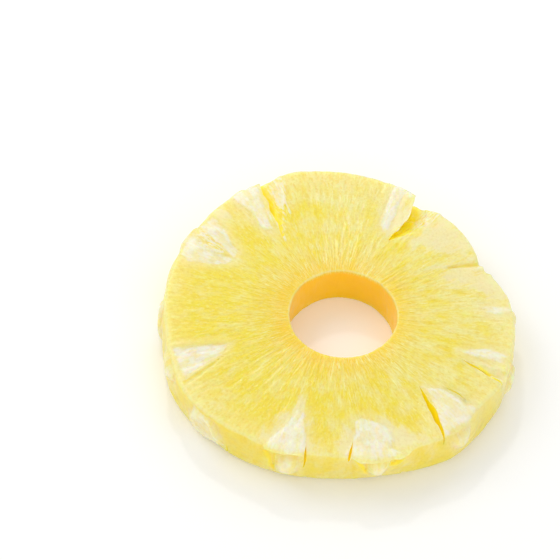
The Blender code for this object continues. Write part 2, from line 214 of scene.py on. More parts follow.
# Where the rim's upper border hangs over, and where it is eaten away below that
RIM_LIPS = (
    ((280.4, 11.6), (280.6, 10.3), (283.6, 9.8), (285.6, 10.3), (293.2, 10.3), (295.8, 9.5), (299, 9.8),
        (302, 10.8), (302, 11.6)),
    ((251.5, 11.6), (252, 9.8), (256, 9.9), (260, 10.3), (264.6, 10.2), (264.8, 11.6)),
)
RIM_HOLLOWS = (
    ((281.8, 9.7), (284.8, 9.9), (285.3, 7), (285.2, 5), (283.8, 7.2)),
    ((292.7, 9.9), (296.6, 9.3), (297.6, 8.2), (294.6, 6.8), (292.8, 7.3)),
    ((251.8, 8.8), (255.6, 9.4), (256.2, 6), (255.9, 2.6), (254.4, 4), (253.8, 6.6)),
)

# Random relief: its height, the size of its features, both in mm, and its seed
SWELL = ((0.12, 7.0, 7),)
SIDE_LUMPS = ((0.18, 3.2, 5), (0.07, 1.2, 6))
PATCH_LUMPS = ((0.16, 1.7, 3), (0.07, 0.8, 4))
CRUMB_GRAIN = ((0.15, 0.8, 9),)
CRUMB_HEIGHT, CRUMB_SIZE, CRUMB_SEED = 0.4, 1.3, 8
CRUMB_FLOOR = 0.2  # rounds off the creases between crumbs
# Random fibres: height in mm, cells to a radian, length in mm and seed
FIBRES = ((0.06, 42, 4.5, 1), (0.04, 95, 2.5, 2))
FACING = (0.3, 0.8)  # the part of a normal that points up or down, where relief of the faces sets in
# Other relief, in mm
PATCH_GROOVE = 0.10
STREAK_HEIGHT = 0.12
BEAD_HEIGHT = 0.8
RIM_LUMP, RIM_GROOVE, RIM_LIP, RIM_HOLLOW = 0.85, 0.15, 0.7, 0.9

# Mesh density: columns round the ring, and rows along each stretch of the section
COLUMNS = 680
FACE_ROWS, RIM_ROWS, UNDER_ROWS, HOLE_ROWS, EDGE_ROWS = 56, 34, 12, 10, 4
CUT_STEPS, CUT_SIDE_STEPS = 36, 10
SHARP_ANGLE = 50.0

# What each vertex stores for the material
REGIONS = ("patch", "cream", "rim", "hole", "border", "streak", "crumbs", "cavity", "soft_cut")
# How far from a border or a cut's line a mark is full, and where it has faded out
RIM_ZONE, BELOW_RIM = (0.5 * MM, 1.4 * MM), (0.1 * MM, 1.0 * MM)
HOLE_ZONE, BELOW_HOLE = (0.4 * MM, 1.2 * MM), (0.15 * MM, 1.2 * MM)
RIM_BORDER, HOLE_BORDER = (0.3 * MM, 1.1 * MM), (0.1 * MM, 0.5 * MM)
CRACK_ZONE, GOUGE_ZONE = (0.55 * MM, 1.2 * MM), (0.6 * MM, 3.0 * MM)
CRUMB_HEIGHTS = (3.0 * MM, 6.0 * MM)

# The photograph's camera: a point on the upper face, over the fruit's axis, falls on this pixel
VIEW_DISTANCE = 0.8
VIEW_ELEVATION = 53.18
VIEW_ROLL = 6.52
PIXELS_PER_MM = 4.199
IMAGE_SIZE = 560
AXIS_PIXEL = (336.1, 312.9)
SENSOR_WIDTH = 36.0

# Softboxes: name, place and side in metres, and power in watts
LIGHTS = (
    ("key", (-0.55, 0.25, 0.60), 0.45, 1.4),
    ("back", (0.10, 0.75, 0.75), 0.60, 1.0),
    ("fill", (0.30, -0.80, 0.28), 0.60, 1.2),
    ("sparkle", (-0.20, 0.62, 0.66), 0.06, 0.7),
)
SKY_STRENGTH = 0.70
FLOOR_HALF = 1.5

# Repeatable noise: what mixes a cell's numbers, and the largest value
HASH_FACTORS = np.array([73856093, 19349663, 83492791])
HASH_SEED_FACTOR = 2654435761
HASH_ROUNDS = ((13, 1274126177), (16, 668265263))
HASH_MASK = 0x7FFFFFFF


def smoothstep(low, high, value):
    share = np.clip((value - low) / (high - low), 0.0, 1.0)
    return share * share * (3.0 - 2.0 * share)


def half_turn(angle):
    """An angle as -180 to 180 degrees."""
    return (angle + 180.0) % 360.0 - 180.0


def flat_point(angle, radius):
    """x and y from the fruit's axis, along a last axis."""
    turn = np.radians(angle)
    return np.stack([radius * np.cos(turn), radius * np.sin(turn)], axis=-1)


def polar(points):
    """Angle and radius about the fruit's axis of points whose last axis is x, y, z."""
    x, y = points[..., 0] - FRUIT_AXIS[0], points[..., 1] - FRUIT_AXIS[1]
    return np.degrees(np.arctan2(y, x)), np.hypot(x, y)


def closed_curve(points, angle):
    """The radius at an angle on a smooth closed curve through (angle, radius in mm) points."""
    angles, radii = np.array(points).T
    before, after = np.roll(angles, 1), np.roll(angles, -1)
    before[0] -= 360.0
    after[-1] += 360.0
    slopes = (np.roll(radii, -1) - np.roll(radii, 1)) / (after - before)
    here = np.searchsorted(angles, np.asarray(angle) % 360.0, side="right") - 1
    there = (here + 1) % len(angles)
    step = after[here] - angles[here]
    t = (angle - angles[here]) % 360.0 / step
    radius = (2 * t**3 - 3 * t**2 + 1) * radii[here] + (3 * t**2 - 2 * t**3) * radii[there]
    radius += ((t**3 - 2 * t**2 + t) * slopes[here] + (t**3 - t**2) * slopes[there]) * step
    return radius * MM


def lattice_value(cell, seed):
    """A repeatable value from -1 to 1 for each cell of whole numbers."""
    mixed = (cell * HASH_FACTORS).sum(axis=-1) + seed * HASH_SEED_FACTOR
    for shift, factor in HASH_ROUNDS:
        mixed = (mixed ^ (mixed >> shift)) * factor & HASH_MASK
    return mixed / (HASH_MASK // 2) - 1.0


def noise(points, seed):
    """Smooth random values from -1 to 1 at points given in cells."""
    base = np.floor(points).astype(np.int64)
    t = points - base
    t = t * t * (3.0 - 2.0 * t)
    total = 0.0
    for corner in itertools.product((0, 1), repeat=3):
        weight = np.prod(np.where(corner, t, 1.0 - t), axis=-1)
        total = total + weight * lattice_value(base + np.array(corner), seed)
    return total


def lumps(points, size, seed):
    """Random relief with features of one size, from -1 to 1."""
    return noise(points / size, seed)


def fibres(points, count, length, seed):
    """Random relief drawn out along the fruit's radii: count cells to a radian, each length long."""
    angle, radius = polar(points)
    turn = np.radians(angle)
    along = (radius + points[..., 2]) / length
    return noise(np.stack([np.cos(turn) * count, np.sin(turn) * count, along], axis=-1), seed)


def rough(points, layers):
    """Random relief in mm, from layers of (height, size of its features in mm, seed)."""
    return sum(height * lumps(points, size * MM, seed) for height, size, seed in layers)


def groove(depth, half_width):
    """1 on the outline of a patch, falling to 0 on both sides of it."""
    return np.exp(-((depth / half_width) ** 2))


def fade(zone, distance):
    """1 up to the start of a zone, falling to 0 at its end."""
    return 1.0 - smoothstep(*zone, distance)


def polygon_depth(ends, x, y):
    """How far points of a plane lie inside a polygon, negative outside."""
    distance, inside = np.full(x.shape, np.inf), np.zeros(x.shape, bool)
    for (x0, y0), (x1, y1) in zip(ends, ends[1:] + ends[:1]):
        dx, dy = x1 - x0, y1 - y0
        t = np.clip(((x - x0) * dx + (y - y0) * dy) / (dx * dx + dy * dy), 0.0, 1.0)
        distance = np.minimum(distance, np.hypot(x - x0 - t * dx, y - y0 - t * dy))
        if dy != 0.0:
            inside ^= ((y0 > y) != (y1 > y)) & (x < x0 + (y - y0) * dx / dy)
    return np.where(inside, distance, -distance)


def face_depth(corners, angle, radius):
    """How far points of a face lie inside a patch with corners at (angle, radius in mm)."""
    ends = [flat_point(a, r * MM).tolist() for a, r in corners]
    points = flat_point(angle, radius)
    return polygon_depth(ends, points[..., 0], points[..., 1])


def rim_depth(corners, angle, height):
    """How far points of the rim lie inside a patch with corners at (angle, height in mm)."""
    start = corners[0][0]
    ends = [(math.radians(a - start) * MEAN_RADIUS, z * MM) for a, z in corners]
    return polygon_depth(ends, np.radians(half_turn(angle - start)) * MEAN_RADIUS, height)


def deepest(measure, patches, along, across):
    """How far points lie inside the nearest of several patches, negative outside."""
    return np.max([measure(corners, along, across) for corners in patches], axis=0)


def along_line(points, start, end):
    """Where points of a plane lie along a line, as a share of its length, and how far they are from it."""
    way = end - start
    share = np.clip((points - start) @ way / (way @ way), 0.0, 1.0)
    return share, np.linalg.norm(points - start - share[..., None] * way, axis=-1)


def streak_depth(streaks, points):
    """How far points of a plane lie inside the nearest of some streaks, as a share of half its width."""
    return 1.0 - np.min([along_line(points, start, end)[1] / half for start, end, half in streaks], axis=0)


def unrolled(angle, height):
    """Points of the rim, given by angle and height in mm, on a plane in mm."""
    return np.stack([np.radians(angle) * MEAN_RADIUS / MM, height], axis=-1)


def streaks_at(angle, radius, height, rim):
    """How strongly a bright strand, partly a painted wet highlight, shows at a point, 0 to 1. rim is 1 on the
    rim and 0 elsewhere.
    """
    on_face = [(flat_point(*start), flat_point(*end), half_width) for start, end, half_width in STREAKS]
    on_rim = [(unrolled(*start), unrolled(*end), half_width) for start, end, half_width in RIM_STREAKS]
    face = smoothstep(0.0, 0.7, streak_depth(on_face, flat_point(angle, radius / MM)))
    side = smoothstep(0.0, 0.7, streak_depth(on_rim, unrolled(angle % 360.0, height / MM)))
    return np.maximum(face * (1.0 - rim) * (height > THICKNESS / 2), side * rim)


def soft_cut_at(soft_cut, angle, radius):
    """How deep a point of the upper face lies in a soft cut, which is ragged and widens, 0 to 1."""
    points = flat_point(angle, radius / MM)
    share, distance = along_line(points, flat_point(*soft_cut.start), flat_point(*soft_cut.end))
    raggedness = 0.35 * lumps(np.concatenate([points, share[..., None]], axis=-1), 1.6, 15)
    half_width = soft_cut.half_width * (0.3 + 0.7 * share)
    return smoothstep(0.0, 1.0, 1.0 + raggedness - distance / half_width)


def white_depth(angle, radius):
    """How far points of the upper face lie inside white tissue, negative outside."""
    points = flat_point(angle, radius)
    patches = deepest(face_depth, [corners for _, corners in FACE_PATCHES], angle, radius)
    beads = [BEAD_SIZE - np.linalg.norm(points - flat_point(a, r * MM), axis=-1) for a, r in BEADS]
    return np.maximum(patches, np.max(beads, axis=0))


def eye_wedge(eye, angle, radius, size):
    """How far a point of a face lies inside an eye's wedge, 0 to 1. size is its relative size there."""
    if size <= 0.0:
        return np.zeros_like(angle)
    middle = (eye.rim_from + eye.rim_to) / 2
    rim = closed_curve(UPPER_RIM, middle)
    mouth_width = np.radians(eye.rim_to - eye.rim_from) * rim
    tip = rim - (rim - eye.tip_radius * MM) * min(size, 1.0)
    along = (radius - tip) / (rim - tip)
    centre = eye.tip_angle + (middle - eye.tip_angle) * along
    half = (eye.tip_width * MM + (mouth_width - eye.tip_width * MM) * along) * size / 2
    aside = np.abs(np.radians(half_turn(angle - centre))) * radius
    return smoothstep(-0.08, 0.08, along) * (1.0 - smoothstep(half - PATCH_EDGE, half + PATCH_EDGE, aside))


def upper_relief(angle, radius):
    """How far the upper face stands above a plain cut."""
    raised = {eye.name: eye.raised for eye in EYES}
    relief = sum(
        smoothstep(-PATCH_EDGE, PATCH_EDGE, face_depth(corners, angle, radius)) * raised[name]
        for name, corners in FACE_PATCHES
    )
    waves = sum(height * np.sin(np.radians(count * angle + start)) for count, start, height in FACE_WAVES)
    return (relief + waves * smoothstep(HOLE_RADIUS, FACE_WAVES_FROM, radius)) * MM


def under_relief(angle, radius):
    """How far the underside is hollowed at its eyes."""
    return sum(eye_wedge(eye, angle, radius, eye.under) * abs(eye.raised) for eye in EYES) * MM


def rim_lump(eye, angle, up):
    """How strongly an eye shows on the rim, 0 to 1. up is 0 at the underside and 1 at the upper face."""
    middle = (eye.rim_from + eye.rim_to) / 2 + eye.drift * (1.0 - up)
    size = eye.under + (eye.upper - eye.under) * up
    half = np.maximum((eye.rim_to - eye.rim_from) / 2 * size, 0.5)
    across = np.clip(np.abs(half_turn(angle - middle)) / half, 0.0, 1.0)
    upward = np.sin(np.pi * (0.05 + 0.9 * np.clip(up, 0, 1)))
    return np.sqrt(1.0 - across**2) * upward * smoothstep(0.1, 0.5, size)


def rim_radius(angle, up):
    relief = RIM_BULGE * (1.0 - (2.0 * up - 1.0) ** 2)
    relief = relief + sum(eye.lump * MM * rim_lump(eye, angle, up) for eye in EYES)
    return closed_curve(LOWER_RIM, angle) * (1.0 - up) + closed_curve(UPPER_RIM, angle) * up + relief


def hole_radius(angle):
    turn = np.radians(angle)
    return HOLE_RADIUS + HOLE_WOBBLE * (np.sin(2.0 * turn + 0.6) + 0.5 * np.sin(3.0 * turn + 2.0))


def depths(points):
    """How far points lie below the upper face, inside the rim and outside the hole."""
    angle, radius = polar(points)
    below = THICKNESS + upper_relief(angle, radius) - points[..., 2]
    inside = rim_radius(angle, points[..., 2] / THICKNESS) - radius
    from_hole = points[..., :2] - FRUIT_AXIS - HOLE_OFFSET
    hole_angle = np.degrees(np.arctan2(from_hole[..., 1], from_hole[..., 0]))
    outside = np.hypot(from_hole[..., 0], from_hole[..., 1]) - hole_radius(hole_angle)
    return below, inside, outside


def corner_points(across, up, edge, start):
    """A rounded corner of the section, clockwise from start degrees, as (across, up) pairs."""
    turns = np.radians(start - 90.0 * np.arange(EDGE_ROWS + 1) / EDGE_ROWS)
    into = np.array([1.0 if across == 0.0 else -1.0, 1.0 if up == 0.0 else -1.0])
    scale = np.array([MEAN_RADIUS - HOLE_RADIUS, THICKNESS])
    return (across, up) + edge * (np.stack([np.cos(turns), np.sin(turns)], axis=1) + into) / scale


def section_outline():
    """The section's outline as (across, up) pairs: across is 0 at the hole and 1 at the rim."""
    corners = (
        corner_points(0.0, 1.0, HOLE_EDGE, 180.0),
        corner_points(1.0, 1.0, UPPER_EDGE, 90.0),
        corner_points(1.0, 0.0, LOWER_EDGE, 0.0),
        corner_points(0.0, 0.0, HOLE_EDGE, 270.0),
    )
    points = []
    for index, rows in enumerate((FACE_ROWS, RIM_ROWS, UNDER_ROWS, HOLE_ROWS)):
        end, start = corners[(index + 1) % 4][0], corners[index][-1]
        points += list(corners[index])
        points += [start + (end - start) * step / rows for step in range(1, rows)]
    return np.array(points)


def plain_points():
    """Every vertex of the ring before its fine relief, as (columns, rows, 3)."""
    across, up = section_outline().T
    angle = 360.0 * np.arange(COLUMNS)[:, None] / COLUMNS + 0.0 * across
    direction = np.stack([np.cos(np.radians(angle)), np.sin(np.radians(angle))], axis=2)
    inner = HOLE_OFFSET + direction * hole_radius(angle)[..., None]
    outer = direction * rim_radius(angle, up)[..., None]
    plan = FRUIT_AXIS + inner + (outer - inner) * across[:, None]
    plan_angle, plan_radius = polar(plan)
    top = THICKNESS + upper_relief(plan_angle, plan_radius)
    bottom = under_relief(plan_angle, plan_radius)
    height = bottom + (top - bottom) * up
    return np.concatenate([plan, height[..., None]], axis=2)


def grid_normals(points):
    """Unit normals of a grid that closes on itself both ways, facing out of the ring."""
    round_ring = np.roll(points, -1, axis=0) - np.roll(points, 1, axis=0)
    round_section = np.roll(points, -1, axis=1) - np.roll(points, 1, axis=1)
    normals = np.cross(round_section, round_ring)
    return normals / np.linalg.norm(normals, axis=2, keepdims=True)


def fine_relief(points, normals):
    """How far each vertex moves out along its normal, in metres."""
    facing_up = smoothstep(*FACING, normals[..., 2])
    facing_down = smoothstep(*FACING, -normals[..., 2])
    flank = 1.0 - facing_up - facing_down
    angle, radius = polar(points)
    depth = white_depth(angle, radius)
    patch = smoothstep(-0.3 * MM, 0.5 * MM, depth)
    crumbly = smoothstep(-0.5 * MM, 1.0 * MM, deepest(face_depth, CRUMBLY_AREAS, angle, radius))
    crumbs = CRUMB_HEIGHT * np.hypot(lumps(points, CRUMB_SIZE * MM, CRUMB_SEED), CRUMB_FLOOR)
    strands = sum(height * fibres(points, count, length * MM, seed) for height, count, length, seed in FIBRES)
    face = strands * (1.0 + patch) - PATCH_GROOVE * groove(depth, 0.45 * MM)
    face += patch * rough(points, PATCH_LUMPS)
    face += crumbly * (crumbs + rough(points, CRUMB_GRAIN))
    face -= sum(soft_cut.depth * soft_cut_at(soft_cut, angle, radius) for soft_cut in SOFT_CUTS)
    sides = rough(points, SIDE_LUMPS) + 0.4 * strands
    relief = rough(points, SWELL) * (1.0 - facing_down)
    relief = relief + face * facing_up + (sides + rim_form(points)) * flank
    relief += STREAK_HEIGHT * streaks_at(angle, radius, points[..., 2], flank)
    relief += sum(bead_form(points, bead) for bead in BEADS)
    return (relief - np.abs(strands) * facing_down) * MM


def bead_form(points, bead):
    """A bead on the border of the upper face, in mm."""
    middle = np.append(FRUIT_AXIS + flat_point(bead[0], bead[1] * MM), THICKNESS - 0.5 * MM)
    return BEAD_HEIGHT * groove(np.linalg.norm(points - middle, axis=-1), BEAD_SIZE)


def rim_form(points):
    """The lumps, lips and hollows of the rim, in mm."""
    angle, radius = polar(points)
    height = points[..., 2]
    lump = deepest(rim_depth, RIM_PATCHES.values(), angle, height)
    lip = deepest(rim_depth, RIM_LIPS, angle, height)
    hollow = deepest(rim_depth, RIM_HOLLOWS, angle, height)
    form = RIM_LUMP * smoothstep(-0.4 * MM, 1.6 * MM, lump) - RIM_GROOVE * groove(lump, 0.5 * MM)
    eaten_away = RIM_HOLLOW * smoothstep(-0.3 * MM, 0.5 * MM, hollow)
    form += RIM_LIP * smoothstep(-0.15 * MM, 0.3 * MM, lip) - eaten_away
    return form * (radius > MEAN_RADIUS / 2)


def grid_faces(columns, rows):
    """The quads of a grid that closes on itself both ways."""
    column, row = np.meshgrid(np.arange(columns), np.arange(rows), indexing="ij")
    right, above = (column + 1) % columns, (row + 1) % rows
    corners = [column * rows + row, column * rows + above, right * rows + above, right * rows + row]
    return np.stack([corner.ravel() for corner in corners], axis=1).tolist()


def new_object(name, data):
    obj = bpy.data.objects.new(name, data)
    bpy.context.scene.collection.objects.link(obj)
    return obj


def mesh_object(name, points, faces):
    """An object from points and faces, turned right side out if its volume says that it is inside out."""
    mesh = bpy.data.meshes.new(name)
    mesh.from_pydata(np.asarray(points).tolist(), [], faces)
    mesh.calc_loop_triangles()
    triangles = np.empty(len(mesh.loop_triangles) * 3, np.int32)
    mesh.loop_triangles.foreach_get("vertices", triangles)
    if np.linalg.det(np.asarray(points)[triangles.reshape(-1, 3)]).sum() < 0.0:
        mesh.flip_normals()
    return new_object(name, mesh)


def vertex_places(mesh):
    points = np.empty(len(mesh.vertices) * 3, np.float32)
    mesh.vertices.foreach_get("co", points)
    return points.reshape(-1, 3).astype(float)


def set_attribute(mesh, name, values):
    attribute = mesh.attributes.new(name, "FLOAT", "POINT")
    attribute.data.foreach_set("value", np.asarray(values, np.float32))


def cut_line(cut):
    """A cut's tip and mouth in plan, and the directions along it and aside, towards smaller angles."""
    tip, mouth = (FRUIT_AXIS + flat_point(angle, radius * MM) for angle, radius in (cut.tip, cut.mouth))
    ahead = (mouth - tip) / np.linalg.norm(mouth - tip)
    return tip, mouth, ahead, np.array([ahead[1], -ahead[0]])


def cutter_object(cut, outline_at):
    """A ragged closed cutter. outline_at gives four (sideways, depth) corners at a share of its length."""
    tip, mouth, _, aside = cut_line(cut)
    face, down = (0.0, 1.0) if cut.under else (THICKNESS, -1.0)
    side_shares = np.arange(CUT_SIDE_STEPS) / CUT_SIDE_STEPS
    sections = []
    for share in np.linspace(0.0, 1.0, CUT_STEPS + 1):
        corners = np.array(outline_at(share))
        ends = np.roll(corners, -1, axis=0)
        outline = (corners[:, None] + (ends - corners)[:, None] * side_shares[:, None]).reshape(-1, 2)
        middle = tip + (mouth - tip) * share + aside * cut.bend * MM * 4.0 * share * (1.0 - share)
        plan = middle + aside * outline[:, :1]
        section = np.concatenate([plan, face + down * outline[:, 1:]], axis=1)
        width = np.ptp(corners[:, 0])
        raggedness = np.minimum(RAGGEDNESS, RAGGED_SHARE * width)
        section[:, :2] += aside * (raggedness * fibres(section, *WALL_FIBRES))[:, None]
        section[:, :2] += aside * (0.5 * raggedness * lumps(section, *WALL_LUMPS))[:, None]
        section[:, 2] += raggedness * lumps(section, *FLOOR_LUMPS)
        section[:, 2] += 0.5 * raggedness * lumps(section, *FLOOR_GRAIN)
        sections.append(section)
    count = 4 * CUT_SIDE_STEPS
    points = np.concatenate([np.concatenate(sections), [sections[0].mean(axis=0), sections[-1].mean(axis=0)]])
    faces = [
        (start + i, start + (i + 1) % count, start + count + (i + 1) % count, start + count + i)
        for start in range(0, CUT_STEPS * count, count)
        for i in range(count)
    ]
    last = CUT_STEPS * count
    first_middle, last_middle = last + count, last + count + 1
    faces += [((i + 1) % count, i, first_middle) for i in range(count)]
    faces += [(last + i, last + (i + 1) % count, last_middle) for i in range(count)]
    return mesh_object(cut.name, points, faces)


def gouge_cutter(gouge):
    def outline_at(share):
        width = gouge.width * MM * (GOUGE_TIP + (1.0 - GOUGE_TIP) * share)
        depth = gouge.depth * MM * (GOUGE_TIP + (1.0 - GOUGE_TIP) * share)
        lean = math.copysign(GOUGE_LEAN * smoothstep(DEEP_GOUGE, FULL_LEAN, gouge.depth), gouge.width)
        top_width = width * (1.0 + CUT_CLEARANCE / depth)
        steep_side = (lean * CUT_CLEARANCE, -CUT_CLEARANCE), (-lean * depth, depth)
        return (*steep_side, (width / 4, depth * 0.85), (top_width, -CUT_CLEARANCE))

    return cutter_object(gouge, outline_at)


def crack_cutter(crack):
    def outline_at(share):
        opening = np.sin(np.pi / 2 * min(share / crack.widest, 1.0))
        closing = smoothstep(crack.widest, 1.0, share)
        width = CRACK_TIP_WIDTH + (crack.width - CRACK_TIP_WIDTH) * opening
        half = (width + (crack.mouth_width - crack.width) * closing) * MM / 2
        depth = crack.depth * (CRACK_TIP_DEPTH + (1.0 - CRACK_TIP_DEPTH) * opening)
        depth = (depth + (crack.mouth_depth - crack.depth) * closing) * MM
        return (-half, -CUT_CLEARANCE), (-half / 3, depth), (half / 3, depth), (half, -CUT_CLEARANCE)

    return cutter_object(crack, outline_at)


def clean(mesh):
    """Merges vertices that all but touch, and removes faces without area, back to back or on their own."""
    work = bmesh.new()
    work.from_mesh(mesh)
    bmesh.ops.remove_doubles(work, verts=work.verts, dist=MERGE_DISTANCE)
    bmesh.ops.dissolve_degenerate(work, dist=MERGE_DISTANCE, edges=work.edges)
    bmesh.ops.triangulate(work, faces=work.faces)
    work.verts.index_update()
    by_corners = {}
    for face in work.faces:
        by_corners.setdefault(frozenset(vert.index for vert in face.verts), []).append(face)
    paired = [face for faces in by_corners.values() if len(faces) > 1 for face in faces]
    alone = [face for face in work.faces if all(edge.is_boundary for edge in face.edges)]
    bmesh.ops.delete(work, geom=paired + alone, context="FACES")
    work.to_mesh(mesh)
    work.free()


def cut(body, cutters):
    """Takes the cutters out of a body for good, and stores which vertices lie on their walls."""
    walls = np.concatenate([vertex_places(cutter.data) for cutter in cutters])
    tree = KDTree(len(walls))
    for index, place in enumerate(walls):
        tree.insert(place, index)
    tree.balance()
    for cutter in cutters:
        modifier = body.modifiers.new(cutter.name, "BOOLEAN")
        modifier.operation = "DIFFERENCE"
        modifier.solver = "MANIFOLD"
        modifier.object = cutter
    graph = bpy.context.evaluated_depsgraph_get()
    mesh = bpy.data.meshes.new_from_object(body.evaluated_get(graph))
    body.modifiers.clear()
    mesh.materials.clear()
    body.data = mesh
    set_attribute(mesh, "wall", [tree.find(place)[2] < WALL_TOLERANCE for place in vertex_places(mesh)])
    clean(mesh)
    for cutter in cutters:
        bpy.data.objects.remove(cutter)


def near_cut(points, cut, zone):
    """1 near a cut's line in plan, falling to 0 further from it and at its mouth."""
    tip, mouth, ahead, aside = cut_line(cut)
    share = ((points[:, :2] - tip) @ ahead) / np.linalg.norm(mouth - tip)
    sideways = (points[:, :2] - tip) @ aside - cut.bend * MM * 4.0 * share * (1.0 - share)
    along = smoothstep(-0.1, 0.0, share) * (1.0 - smoothstep(0.75, 1.05, share))
    return along * fade(zone, np.abs(sideways))


def mark_regions(mesh):
    """Stores where each vertex lies: how deep in white or cream flesh, in mm, and on which surface."""
    points = vertex_places(mesh)
    wall = np.empty(len(points), np.float32)
    mesh.attributes["wall"].data.foreach_get("value", wall)
    angle, radius = polar(points)
    below, inside, outside = depths(points)
    height = points[:, 2]
    upper_half = height > THICKNESS / 2
    rim = fade(RIM_ZONE, inside) * smoothstep(*BELOW_RIM, below) * (1.0 - wall)
    # The borders of the upper face are painted cream, partly a paler flesh and partly a painted highlight on
    # the rounded edges
    rim_border = 0.6 * fade(RIM_BORDER, np.maximum(below, inside))
    hole_border = 0.8 * fade(HOLE_BORDER, np.maximum(below, outside))
    under_eye = np.max([eye_wedge(eye, angle, radius, eye.under) for eye in EYES], axis=0)
    flat_patch = np.where(upper_half, white_depth(angle, radius), (2.0 * under_eye - 1.0) * MM)
    rim_patch = deepest(rim_depth, RIM_PATCHES.values(), angle, height)
    crumbs = smoothstep(-0.8 * MM, 0.8 * MM, deepest(face_depth, CRUMBLY_AREAS, angle, radius))
    hollow = smoothstep(-0.4 * MM, 0.2 * MM, deepest(rim_depth, RIM_HOLLOWS, angle, height)) * rim
    # Painted light: near the walls of cracks and deep gouges, and in the rim's hollows, the flesh gets a
    # bright golden colour and a glow that stand in for light reaching these shaded places through the
    # translucent flesh
    cracks = [smoothstep(-0.1, 1.1, crack.width) * near_cut(points, crack, CRACK_ZONE) for crack in CRACKS]
    deep_gouges = [gouge for gouge in GOUGES if gouge.depth > DEEP_GOUGE]
    gouges = [0.95 * near_cut(points, gouge, GOUGE_ZONE) for gouge in deep_gouges]
    cavity = np.max(cracks + gouges, axis=0) * wall
    soft_cuts = np.max([soft_cut_at(soft_cut, angle, radius) for soft_cut in SOFT_CUTS], axis=0)
    regions = {
        "patch": (flat_patch * (1.0 - rim) + rim_patch * rim) / MM,
        "cream": deepest(face_depth, CREAM_AREAS, angle, radius) / MM,
        "rim": rim,
        # The hole's wall, which gets painted shade and a painted glow
        "hole": fade(HOLE_ZONE, outside) * smoothstep(*BELOW_HOLE, below),
        "border": np.maximum(rim_border, hole_border),
        "streak": streaks_at(angle, radius, height, rim),
        "crumbs": crumbs * (1.0 - rim) * smoothstep(*CRUMB_HEIGHTS, height),
        "cavity": np.maximum(cavity, 0.7 * hollow),
        "soft_cut": soft_cuts * upper_half,
    }
    for name in REGIONS:
        set_attribute(mesh, name, regions[name])


def build_ring():
    points = plain_points()
    normals = grid_normals(points)
    points = points + normals * fine_relief(points, normals)[..., None]
    points[..., 2] = np.maximum(points[..., 2], 0.0)
    columns, rows, _ = points.shape
    ring = mesh_object("pineapple_flesh", points.reshape(-1, 3), grid_faces(columns, rows))
    cut(ring, [gouge_cutter(gouge) for gouge in GOUGES] + [crack_cutter(crack) for crack in CRACKS])
    mark_regions(ring.data)
    ring.data.shade_smooth()
    ring.data.set_sharp_from_angle(angle=np.radians(SHARP_ANGLE))
    return ring


def linear(red, green, blue):
    """A colour given as it looks on a screen, from 0 to 255, as the shader's linear values."""
    values = [value / 255.0 for value in (red, green, blue)]
    return (*(v / 12.92 if v <= 0.04045 else ((v + 0.055) / 1.055) ** 2.4 for v in values), 1.0)


DEEP_FLESH = linear(246, 226, 66)
PALE_FLESH = linear(245, 234, 150)
CORE_FLESH = linear(246, 212, 36)
MARGIN_FLESH = linear(243, 235, 166)
CREAM_FLESH = linear(246, 236, 188)
LIGHT_STRAND = linear(253, 244, 170)
DARK_STRAND = linear(236, 207, 52)
WHITE_TISSUE = linear(246, 242, 219)
RIM_FLESH = linear(247, 222, 62)
# Deeper orange: near the hole a tone of the face, on the hole's wall partly painted shade
HOLE_FLESH_AND_SHADE = linear(252, 196, 0)
GRAIN_SHADE = linear(210, 182, 44)
# Painted light: the golden colour and the glow given to the shaded cuts
CUT_PAINTED_LIGHT = linear(243, 220, 30)
CUT_PAINTED_GLOW = linear(190, 188, 20)
# Painted glow for the hole's wall
HOLE_PAINTED_GLOW = linear(150, 140, 0)
NO_GLOW = linear(0, 0, 0)
FLOOR_WHITE = linear(251, 251, 250)

# Noise: its scale, detail and roughness
CLOUDY_NOISES = {"clouds": (110.0, 2.0, 0.5), "mottle": (420.0, 3.0, 0.6), "grain": (1500.0, 2.0, 0.6)}
# Noise drawn out along the radii: cells to a radian, length in mm, detail and roughness
RADIAL_NOISES = {
    "coarse": (10, 7.0, 3.0, 0.55),
    "blotches": (14, 3.2, 2.0, 0.5),
    "strands": (42, 2.8, 2.0, 0.6),
    "wisps": (90, 2.5, 2.0, 0.5),
    "flecks": (60, 1.2, 2.0, 0.6),
}
THREADS = (70, 4.0, 1.0, 0.5)
THREAD_WAVE = 1.6 * MM
NOISE_RANGE = (0.3, 0.7)  # nearly all of a noise's values
# Colours that grow in along the radius: where each starts and is full, in mm, its share and the colour
RADIAL_COLOURS = (
    (24.0, 13.0, 0.7, CORE_FLESH),
    (17.0, 13.0, 0.25, HOLE_FLESH_AND_SHADE),
    (33.0, 43.0, 0.6, MARGIN_FLESH),
)


